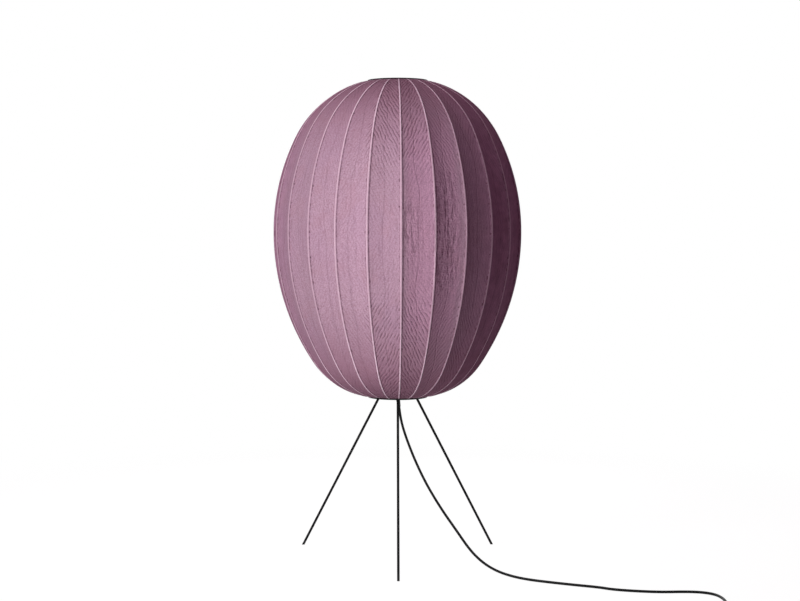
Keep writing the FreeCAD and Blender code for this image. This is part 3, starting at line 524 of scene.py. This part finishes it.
def knit_finish():
    """Plum knit: stitches, heather, feathered ripples, upright wrinkles and pale rib channels, with painted
    shade in the hollows.
    """
    material, tree, shader = new_finish("plum_knit")
    at = knit_places(tree)
    stitches = knit_stitches(tree, at)
    creases, feather = knit_ripples(tree, at)
    streaks, wrinkles = knit_wrinkles(tree, at)
    fold = knit_fold(tree, at)
    pale, seam = knit_channels(tree, at)

    # Colour, with painted shade darkening every hollow: creases, feather, streaks, wrinkles, folds and
    # stitch furrows
    painted_hollow_shades = (
        feather,
        ease(tree, creases, 0.35, 0.95, 0.0, 0.44),
        ease(tree, streaks, 0.0, -0.22, 0.0, 0.17),
        ease(tree, wrinkles, 0.02, -0.16, 0.0, 0.36),
        times(tree, fold, 0.14),
        ease(tree, stitches, -0.1, -1.2, 0.0, 0.30),
    )
    yarn = plain_yarn(tree, at)
    for hollow in painted_hollow_shades:
        yarn = blend_colours(tree, hollow, yarn, shade_and_stitch_dark)
    yarn = blend_colours(tree, pale, yarn, rib_line_colour(tree, at))
    yarn = blend_colours(tree, times(tree, seam, 0.80), yarn, shade_and_stitch_dark)
    wire(tree, yarn, shader.inputs["Base Color"])
    wire(tree, ease(tree, at.heather, 0.2, 0.8, 0.80, 0.95), shader.inputs["Roughness"])
    shader.inputs["Specular IOR Level"].default_value = 0.04

    # Some light comes through the cloth
    shader.inputs["Subsurface Weight"].default_value = 0.15
    shader.inputs["Subsurface Radius"].default_value = scatter_radius
    shader.inputs["Subsurface Scale"].default_value = 1.0

    # Relief, in millimetres
    height = plus(
        tree,
        times(tree, stitches, 0.07),
        times(tree, creases, -0.60),
        times(tree, feather, -0.60),
        times(tree, streaks, 0.75),
        times(tree, wrinkles, 6.5),
        times(tree, fold, -0.30),
        times(tree, seam, -0.25),
        times(tree, at.fine, 0.08),
    )
    relief(tree, shader, height, 0.001)
    return material


def attribute(tree, name):
    """A value kept on the piece's own points."""
    made = tree.nodes.new("ShaderNodeAttribute")
    made.attribute_name = name
    return made.outputs["Fac"]


def gore_coordinates(tree):
    """Distance across a gore from its middle, and along the rib from the belly, in metres."""
    made = tree.nodes.new("ShaderNodeUVMap")
    made.uv_map = "gore_map"
    parts = tree.nodes.new("ShaderNodeSeparateXYZ")
    tree.links.new(made.outputs["UV"], parts.inputs["Vector"])
    return parts.outputs["X"], parts.outputs["Y"]


# Curve of a rib, as in the part's source
def arc_points(start, apex, end, count):
    """Points along the arc that touches both legs of a corner."""
    weight = (end - start).length / 2 / (apex - start).length
    points = []
    for step in range(count + 1):
        t = step / count
        shares = ((1 - t) ** 2, 2 * weight * t * (1 - t), t ** 2)
        points.append((start * shares[0] + apex * shares[1] + end * shares[2]) / sum(shares))
    return points


def biarc_points(start, start_way, end, end_way, share, count):
    """Points along two arcs from start to end; share is the first tangent over the second."""
    span = end - start
    a = 2 * share * (start_way.dot(end_way) - 1)
    b = -2 * span.dot(start_way * share + end_way)
    c = span.dot(span)
    second = (-b - math.sqrt(b * b - 4 * a * c)) / (2 * a)
    first = share * second
    apex_one = start + start_way * first
    apex_two = end - end_way * second
    join = (apex_one * second + apex_two * first) / (first + second)
    return arc_points(start, apex_one, join, count)[:-1] + arc_points(join, apex_two, end, count)


def rib_curve():
    """Even points up a rib from the lower ring: place, way, length from the belly and to the nearer hem."""
    low = math.radians(bottom_rib_slope)
    high = math.radians(top_rib_slope)
    low_way = Vector((math.cos(low), math.sin(low)))
    high_way = Vector((-math.cos(high), math.sin(high)))
    low_entry = Vector((cover_edge_radius, plate_top_z + hem_lift + cover_outside / math.cos(low)))
    high_entry = Vector((cover_edge_radius, rim_under_z - hem_lift - cover_outside / math.cos(high)))
    belly = Vector((shade_radius - cover_outside, belly_z))
    up = Vector((0.0, 1.0))
    lower = biarc_points(low_entry, low_way, belly, up, lower_shoulder_share, rib_arc_steps)
    upper = biarc_points(belly, up, high_entry, high_way, upper_shoulder_share, rib_arc_steps)
    lengths = [0.0]
    fine = lower[:-1] + upper
    for here, after in zip(fine, fine[1:]):
        lengths.append(lengths[-1] + (after - here).length)
    belly_length = lengths[len(lower) - 1]
    rows = []
    index = 0
    for row in range(cover_rows + 1):
        length = lengths[-1] * row / cover_rows
        while index < len(fine) - 2 and lengths[index + 1] < length:
            index += 1
        share = (length - lengths[index]) / (lengths[index + 1] - lengths[index])
        way = (fine[index + 1] - fine[index]).normalized()
        to_hem = min(length, lengths[-1] - length)
        rows.append((fine[index].lerp(fine[index + 1], share), way, length - belly_length, to_hem))
    return rows


def smooth_share(value, low, high):
    """Smooth step from 0 at low to 1 at high."""
    t = min(1.0, max(0.0, (value - low) / (high - low)))
    return t * t * (3 - 2 * t)


def column_distances(half_width, channel):
    """Distances of the columns of points from a rib, close together over its channel."""
    near = [channel * share for share in channel_columns]
    rest = half_width - near[-1]
    return near + [near[-1] + rest * share for share in gore_columns]


def gore_radius(rib_radius, angle):
    """Radius of the cover's hollow arc at an angle from the middle of a gore."""
    half = math.pi / rib_count
    half_chord = rib_radius * math.sin(half)
    hollow = gore_hollow_radius - math.sqrt(gore_hollow_radius ** 2 - half_chord ** 2)
    centre = rib_radius * math.cos(half) - hollow + gore_hollow_radius
    return centre * math.cos(angle) - math.sqrt(gore_hollow_radius ** 2 - (centre * math.sin(angle)) ** 2)


def cover_row(point, way, from_belly, to_hem):
    """One ring of the cover: for each column its angle from the rib, radius, height and rib distance."""
    middle = (cover_inside + cover_outside) / 2
    rib_radius = point.x + way.y * middle
    height = point.y - way.x * middle
    half = math.pi / rib_count
    ends = smooth_share(abs(from_belly), *channel_taper)
    channel = channel_half_width_belly + (channel_half_width_end - channel_half_width_belly) * ends
    rise = channel_rise_belly + (channel_rise_end - channel_rise_belly) * ends
    rise *= smooth_share(to_hem, *hem_fade)
    places = []
    distances = column_distances(rib_radius * half, channel)
    for distance, share in zip(distances, channel_rises):
        angle = distance / rib_radius
        radius = gore_radius(rib_radius, half - angle)
        lift = rise * share
        places.append((angle, radius + lift * way.y, height - lift * way.x, distance))
    return places


def spin_cover(form, curve, columns, start):
    """A plain tube: the rib's curve turned round the lamp's axis."""
    line = []
    for row in curve:
        radius, height = row[0]
        line.append(form.verts.new((radius * math.cos(start), radius * math.sin(start), height)))
    edges = [form.edges.new(pair) for pair in zip(line, line[1:])]
    bmesh.ops.spin(form, geom=line + edges, cent=(0, 0, 0), axis=(0, 0, 1), dvec=(0, 0, 0),
                   angle=2 * math.pi, steps=columns, use_merge=True)
    bmesh.ops.remove_doubles(form, verts=form.verts, dist=0.00001)


def shape_cover(form, curve, rings, columns, start):
    """Sets the tube's points on the cover, with their rib distances; gives each one's row and column."""
    heights = [row[0].y for row in curve]
    between_rows = [(low + high) / 2 for low, high in zip(heights, heights[1:])]
    step = 2 * math.pi / columns
    distance_layer = form.verts.layers.float.new("rib_distance")
    places = {}
    for vert in form.verts:
        row = bisect.bisect(between_rows, vert.co.z)
        column = round((math.atan2(vert.co.y, vert.co.x) - start) / step) % columns
        gore, offset = divmod(column, columns_per_gore)
        side = 1
        if offset > columns_per_gore // 2:
            gore += 1
            offset = columns_per_gore - offset
            side = -1
        angle, radius, height, distance = rings[row][offset]
        around = start + gore * columns_per_gore * step + side * angle
        vert.co = (radius * math.cos(around), radius * math.sin(around), height)
        vert[distance_layer] = distance
        places[vert] = (row, column)
    return places


def map_gores(form, curve, rings, places, columns, start):
    """Distances across each gore and along the rib as coordinates, mirrored in every second gore."""
    half_columns = columns_per_gore // 2
    gore_turn = 2 * math.pi / rib_count
    gore_map = form.loops.layers.uv.new("gore_map")
    for face in form.faces:
        centre = face.calc_center_median()
        gore = int((math.atan2(centre.y, centre.x) - start) // gore_turn) % rib_count
        mirrored = -1.0 if gore % 2 else 1.0
        for loop in face.loops:
            row, column = places[loop.vert]
            offset = (column - gore * columns_per_gore) % columns
            half_width = rings[row][half_columns][3]
            across = rings[row][min(offset, columns_per_gore - offset)][3] - half_width
            if offset > half_columns:
                across = -across
            loop[gore_map].uv = (mirrored * across, curve[row][2])
        face.smooth = True


def make_knit_cover(finish):
    """One knitted tube drawn over the ribs, hollow between them and raised over each in a channel."""
    curve = rib_curve()
    rings = [cover_row(*row) for row in curve]
    columns = rib_count * columns_per_gore
    start = math.radians(-90.0 + rib_turn)
    mesh = bpy.data.meshes.new("knit_cover_drape")
    form = bmesh.new()
    spin_cover(form, curve, columns, start)
    places = shape_cover(form, curve, rings, columns, start)
    map_gores(form, curve, rings, places, columns, start)
    bmesh.ops.recalc_face_normals(form, faces=form.faces)
    form.to_mesh(mesh)
    form.free()
    mesh.materials.append(finish)
    cover = bpy.data.objects.new("knit_cover_drape", mesh)
    bpy.context.scene.collection.objects.link(cover)
    wall = cover.modifiers.new("cloth_wall", "SOLIDIFY")
    wall.thickness = cover_thickness
    wall.offset = 0.0
    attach(cover, "lamp")
    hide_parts("knit_cover")


# Cords
def make_cord(name, points, finish):
    """A round cord on one smooth spline."""
    curve = bpy.data.curves.new(name, "CURVE")
    curve.dimensions = "3D"
    curve.bevel_depth = cord_diameter / 2
    curve.bevel_resolution = 5
    curve.use_fill_caps = True
    spline = curve.splines.new("NURBS")
    spline.points.add(len(points) - 1)
    for target, point in zip(spline.points, points):
        target.co = (*point, 1.0)
    spline.order_u = 3
    spline.use_endpoint_u = True
    spline.resolution_u = 8
    curve.materials.append(finish)
    cord = bpy.data.objects.new(name, curve)
    bpy.context.scene.collection.objects.link(cord)
    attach(cord, "lamp")
    return cord


def coil_route():
    """In on the lower layer, up over part of a turn, out on the upper layer."""
    points = list(coil_lead_in)
    middle = coil_turns / 2
    fit = 1 / math.cos(math.pi / coil_points_per_turn) ** 0.5
    for index in range(int(coil_turns * coil_points_per_turn) + 1):
        turns = index / coil_points_per_turn
        radius = (coil_inner_radius + coil_step * abs(turns - middle)) * fit
        climb = min(1.0, max(0.0, (turns - middle) / coil_climb_turns + 0.5))
        height = coil_low_z + coil_step * climb * climb * (3 - 2 * climb)
        angle = math.pi / 2 + 2 * math.pi * turns
        x = coil_centre[0] + radius * math.cos(angle)
        y = coil_centre[1] + radius * math.sin(angle)
        points.append((x, y, height))
    return points + coil_lead_out


def make_switch_spring():
    """Helical spring under the switch's button."""
    low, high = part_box("switch_spring")
    wire_radius = spring_wire / 2
    middle = (low + high) / 2
    steps = spring_turns * spring_steps_per_turn
    climb = (high.z - low.z - spring_wire) / steps
    mesh = bpy.data.meshes.new("switch_spring_coil")
    form = bmesh.new()
    section = bmesh.ops.create_circle(form, segments=spring_sides, radius=wire_radius)["verts"]
    bmesh.ops.rotate(form, verts=section, matrix=Matrix.Rotation(math.pi / 2, 3, "X"))
    bmesh.ops.translate(form, verts=section, vec=(high.x - wire_radius, middle.y, low.z + wire_radius))
    bmesh.ops.spin(form, geom=form.verts[:] + form.edges[:], cent=middle, axis=(0, 0, 1),
                   dvec=(0, 0, climb), angle=2 * math.pi * spring_turns, steps=steps)
    ends = [edge for edge in form.edges if edge.is_boundary]
    bmesh.ops.holes_fill(form, edges=ends, sides=0)
    bmesh.ops.recalc_face_normals(form, faces=form.faces)
    for face in form.faces:
        face.smooth = len(face.verts) == 4
    form.to_mesh(mesh)
    form.free()
    mesh.materials.append(frame["nodes"]["switch_spring"].material_slots[0].material)
    spring = bpy.data.objects.new("switch_spring_coil", mesh)
    bpy.context.scene.collection.objects.link(spring)
    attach(spring, "lamp")
    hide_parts("switch_spring")
    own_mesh(spring)
    return spring


def make_cords(sheath):
    """The cord to the foot switch, and the spare length in its coil."""
    nodes = frame["nodes"]
    lamp_cord = make_cord("lamp_cord_flex", lamp_cord_route, sheath)
    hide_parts("lamp_cord")
    switch = [nodes[name] for name in ("switch_base", "switch_cover", "switch_button", "switch_contacts",
                                       "switch_screws")]
    switch.append(make_switch_spring())
    coil = make_cord("cord_coil_flex", coil_route(), sheath)
    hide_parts("cord_coil")
    tie = make_coil_tie()


def make_coil_tie():
    """Hook-and-loop strap round the turns of the coil, with its free end pressed down on top."""
    low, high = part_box("coil_tie")
    inset = strap_thickness / 2
    mesh = bpy.data.meshes.new("coil_tie_strap")
    form = bmesh.new()
    corners = ((low.x, low.z), (high.x, low.z), (high.x, high.z), (low.x, high.z))
    middle_x = (low.x + high.x) / 2
    middle_z = (low.z + high.z) / 2
    loop = []
    for x, z in corners:
        x -= math.copysign(inset, x - middle_x)
        z -= math.copysign(inset, z - middle_z)
        loop.append(form.verts.new((x, low.y, z)))
    ring = [form.edges.new((loop[i], loop[(i + 1) % 4])) for i in range(4)]
    wide = bmesh.ops.extrude_edge_only(form, edges=ring)["geom"]
    new_verts = [part for part in wide if isinstance(part, bmesh.types.BMVert)]
    bmesh.ops.translate(form, verts=new_verts, vec=(0, high.y - low.y, 0))
    bends = [e for e in form.edges if abs(e.verts[0].co.y - e.verts[1].co.y) > 0.001]
    bmesh.ops.bevel(form, geom=bends, offset=strap_corner, offset_type="OFFSET", affect="EDGES", segments=6,
                    profile=0.5, material=-1)
    bmesh.ops.recalc_face_normals(form, faces=form.faces)
    bmesh.ops.solidify(form, geom=form.faces[:], thickness=strap_thickness)
    tail = bmesh.ops.create_cube(form, size=1.0)["verts"]
    tail_size = (tail_length, (high.y - low.y) * tail_width_share, strap_thickness)
    tail_place = (middle_x + tail_shift, (low.y + high.y) / 2, high.z + inset)
    bmesh.ops.scale(form, verts=tail, vec=tail_size)
    bmesh.ops.translate(form, verts=tail, vec=tail_place)
    upright = [e for e in form.edges if e.verts[0] in tail and e.verts[1] in tail
               and abs(e.verts[0].co.z - e.verts[1].co.z) > inset]
    bmesh.ops.bevel(form, geom=upright, offset=tail_round, offset_type="OFFSET", affect="EDGES", segments=4,
                    profile=0.5, material=-1)
    bmesh.ops.recalc_face_normals(form, faces=form.faces)
    form.to_mesh(mesh)
    form.free()
    mesh.materials.append(strap_finish())
    tie = bpy.data.objects.new("coil_tie_strap", mesh)
    bpy.context.scene.collection.objects.link(tie)
    edge = tie.modifiers.new("soft_edges", "BEVEL")
    edge.width = strap_edge
    edge.segments = 2
    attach(tie, "lamp")
    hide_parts("coil_tie")
    return tie


def strap_finish():
    """Woven black strap with a napped face."""
    material, tree, shader = new_finish("napped_strap")
    place = object_place(tree)
    nap = grain(tree, place, 2600.0, 3.0, 0.7)
    wire(tree, shade_between(tree, nap, (0.008, 0.008, 0.009), (0.040, 0.039, 0.042), 0.3, 0.75),
         shader.inputs["Base Color"])
    shader.inputs["Roughness"].default_value = 0.95
    shader.inputs["Specular IOR Level"].default_value = 0.1
    shader.inputs["Sheen Weight"].default_value = 0.3
    relief(tree, shader, nap, 0.0003)
    return material


def dress_nodes():
    """A finish on each solid that stays as it is."""
    frame_coat = plain_finish(
        "black_powder_coat", (0.0030, 0.0030, 0.0034), (0.0065, 0.0063, 0.0067), (0.50, 0.66),
        specular=0.10, mottle=35.0, grit=1400.0, depth=0.000003)
    rod = plain_finish(
        "pale_rod", (0.55, 0.47, 0.49), (0.70, 0.62, 0.64), (0.35, 0.50), mottle=30.0, grit=700.0,
        depth=0.00002, stretch=(1.0, 1.0, 0.15))
    cast = plain_finish(
        "cast_metal", (0.22, 0.22, 0.23), (0.34, 0.34, 0.35), (0.42, 0.62), metal=1.0, mottle=120.0,
        grit=1100.0, depth=0.00009)
    rubber = plain_finish(
        "foot_rubber", (0.010, 0.010, 0.010), (0.018, 0.018, 0.018), (0.70, 0.88), specular=0.2,
        mottle=90.0, grit=1800.0, depth=0.00004)
    steel = plain_finish(
        "zinc_plated_steel", (0.50, 0.50, 0.49), (0.66, 0.66, 0.64), (0.24, 0.42), metal=1.0, mottle=200.0,
        grit=1500.0, depth=0.00002)
    brass = plain_finish(
        "brass", (0.62, 0.44, 0.17), (0.76, 0.57, 0.26), (0.22, 0.40), metal=1.0, mottle=160.0, grit=1300.0,
        depth=0.00002)
    moulding = plain_finish(
        "black_moulding", (0.010, 0.010, 0.011), (0.017, 0.017, 0.018), (0.38, 0.52), specular=0.35,
        mottle=80.0, grit=2200.0, depth=0.00005)
    button = plain_finish(
        "button_moulding", (0.032, 0.032, 0.034), (0.046, 0.046, 0.048), (0.30, 0.42), specular=0.4,
        mottle=80.0, grit=2600.0, depth=0.00002)
    ceramic = plain_finish(
        "glazed_ceramic", (0.70, 0.68, 0.63), (0.80, 0.78, 0.73), (0.12, 0.22), mottle=60.0, grit=400.0,
        depth=0.00003)
    opal = plain_finish(
        "opal_glass", (0.86, 0.86, 0.83), (0.92, 0.92, 0.90), (0.24, 0.34), mottle=40.0, grit=500.0,
        depth=0.00001)
    white = plain_finish(
        "white_moulding", (0.72, 0.72, 0.70), (0.80, 0.80, 0.78), (0.35, 0.48), mottle=60.0, grit=2000.0,
        depth=0.00003)
    cap = plain_finish(
        "nickel_cap", (0.58, 0.56, 0.52), (0.70, 0.68, 0.64), (0.20, 0.34), metal=1.0, mottle=180.0,
        grit=1200.0, depth=0.00002)
    core = plain_finish(
        "core_sheath", (0.10, 0.045, 0.02), (0.16, 0.07, 0.03), (0.40, 0.55), mottle=100.0, grit=1500.0,
        depth=0.00002)
    sheath = sheath_finish()
    finishes = {
        "black_frame": frame_coat,
        "rib_rod": rod,
        "cast_hub": cast,
        "foot_rubber": rubber,
        "plain_steel": steel,
        "brass": brass,
        "black_moulding": moulding,
        "button_moulding": button,
        "holder_ceramic": ceramic,
        "opal": opal,
        "white_moulding": white,
        "cap_metal": cap,
        "cord_sheath": sheath,
        "core_sheath": core,
        "pin_metal": cap,
    }
    for entry in frame["record"]["subparts"]:
        finish = finishes.get(entry["material_slot"])
        if finish is not None:
            piece = frame["nodes"][entry["node"]]
            for slot in piece.material_slots:
                slot.material = finish
    return sheath


def sheath_finish():
    """Black cord sheath with a faint moulded skin."""
    material, tree, shader = new_finish("cord_sheath")
    place = object_place(tree)
    skin = grain(tree, place, 900.0, 2.0)
    cloud = grain(tree, place, 40.0, 3.0)
    wire(tree, shade_between(tree, cloud, (0.0024, 0.0024, 0.0027), (0.0050, 0.0050, 0.0054), 0.35, 0.65),
         shader.inputs["Base Color"])
    wire(tree, ease(tree, cloud, 0.3, 0.7, 0.46, 0.60), shader.inputs["Roughness"])
    shader.inputs["Specular IOR Level"].default_value = 0.11
    relief(tree, shader, skin, 0.00001)
    return material


# Studio
def backdrop_share(tree):
    """1 for rays that show the background itself: from the camera, in gloss or through glass."""
    path = tree.nodes.new("ShaderNodeLightPath")
    seen = calc(tree, "MAXIMUM", path.outputs["Is Camera Ray"], path.outputs["Is Glossy Ray"])
    return calc(tree, "MAXIMUM", seen, path.outputs["Is Transmission Ray"])


def make_world():
    """White background, with a dim even light on the object."""
    world = bpy.data.worlds.new("studio")
    bpy.context.scene.world = world
    world.use_nodes = True
    tree = world.node_tree
    tree.nodes.clear()
    fill = tree.nodes.new("ShaderNodeBackground")
    fill.inputs["Color"].default_value = fill_colour
    fill.inputs["Strength"].default_value = fill_strength
    white = tree.nodes.new("ShaderNodeBackground")
    white.inputs["Color"].default_value = white_colour
    white.inputs["Strength"].default_value = 1.0
    mix = tree.nodes.new("ShaderNodeMixShader")
    output = tree.nodes.new("ShaderNodeOutputWorld")
    wire(tree, backdrop_share(tree), mix.inputs["Fac"])
    tree.links.new(fill.outputs["Background"], mix.inputs[1])
    tree.links.new(white.outputs["Background"], mix.inputs[2])
    tree.links.new(mix.outputs["Shader"], output.inputs["Surface"])


def floor_finish():
    """Pale floor that shows as the background, with the object's faint shadow near it."""
    material = bpy.data.materials.new("studio_floor")
    material.use_nodes = True
    tree = material.node_tree
    tree.nodes.clear()
    place = object_place(tree)
    middle = tree.nodes.new("ShaderNodeVectorMath")
    middle.operation = "LENGTH"
    tree.links.new(place, middle.inputs[0])
    far = ease(tree, middle.outputs["Value"], *floor_fade)
    paper = tree.nodes.new("ShaderNodeBsdfDiffuse")
    paper.inputs["Color"].default_value = floor_paper
    glow = tree.nodes.new("ShaderNodeEmission")
    glow.inputs["Color"].default_value = floor_glow
    shadow = tree.nodes.new("ShaderNodeBsdfDiffuse")
    shadow.inputs["Color"].default_value = floor_shadow
    near = tree.nodes.new("ShaderNodeAddShader")
    tree.links.new(glow.outputs["Emission"], near.inputs[0])
    tree.links.new(shadow.outputs["BSDF"], near.inputs[1])
    white = tree.nodes.new("ShaderNodeEmission")
    white.inputs["Color"].default_value = white_colour
    shown = tree.nodes.new("ShaderNodeMixShader")
    wire(tree, far, shown.inputs["Fac"])
    tree.links.new(near.outputs["Shader"], shown.inputs[1])
    tree.links.new(white.outputs["Emission"], shown.inputs[2])
    mix = tree.nodes.new("ShaderNodeMixShader")
    wire(tree, backdrop_share(tree), mix.inputs["Fac"])
    tree.links.new(paper.outputs["BSDF"], mix.inputs[1])
    tree.links.new(shown.outputs["Shader"], mix.inputs[2])
    output = tree.nodes.new("ShaderNodeOutputMaterial")
    tree.links.new(mix.outputs["Shader"], output.inputs["Surface"])
    return material


def make_floor():
    """A large floor under the lamp."""
    mesh = bpy.data.meshes.new("studio_floor")
    form = bmesh.new()
    bmesh.ops.create_grid(form, x_segments=1, y_segments=1, size=floor_half_size)
    form.to_mesh(mesh)
    form.free()
    mesh.materials.append(floor_finish())
    floor = bpy.data.objects.new("studio_floor", mesh)
    bpy.context.scene.collection.objects.link(floor)


def soft_light(name, azimuth, distance, height, aim_z, width, tall, power):
    """A soft panel of light on the object, turned round it from the camera's side."""
    data = bpy.data.lights.new(name, "AREA")
    data.shape = "RECTANGLE"
    data.size = width
    data.size_y = tall
    data.energy = power
    light = bpy.data.objects.new(name, data)
    around = math.radians(azimuth)
    light.location = (distance * math.sin(around), -distance * math.cos(around), height)
    way = Vector((0.0, 0.0, aim_z)) - light.location
    light.rotation_euler = way.to_track_quat("-Z", "Y").to_euler()
    light.visible_camera = False
    bpy.context.scene.collection.objects.link(light)


def make_studio():
    """Floor, background and soft panels: two left of the camera, one behind and a weak one overhead."""
    bpy.context.scene.view_settings.view_transform = "Standard"
    make_world()
    make_floor()
    soft_light("key_panel", azimuth=-50.0, distance=2.40, height=1.00, aim_z=1.00,
               width=0.40, tall=2.00, power=35.5)
    soft_light("front_strip", azimuth=-14.5, distance=0.52, height=0.66, aim_z=0.66,
               width=0.28, tall=1.26, power=1.80)
    soft_light("back_panel", azimuth=180.0, distance=1.30, height=0.80, aim_z=0.62,
               width=0.60, tall=0.70, power=7.0)
    soft_light("top_panel", azimuth=0.0, distance=0.05, height=2.20, aim_z=0.60,
               width=0.50, tall=0.50, power=1.8)


place_camera()
cord_sheath = dress_nodes()
make_cords(cord_sheath)
make_knit_cover(knit_finish())
make_studio()
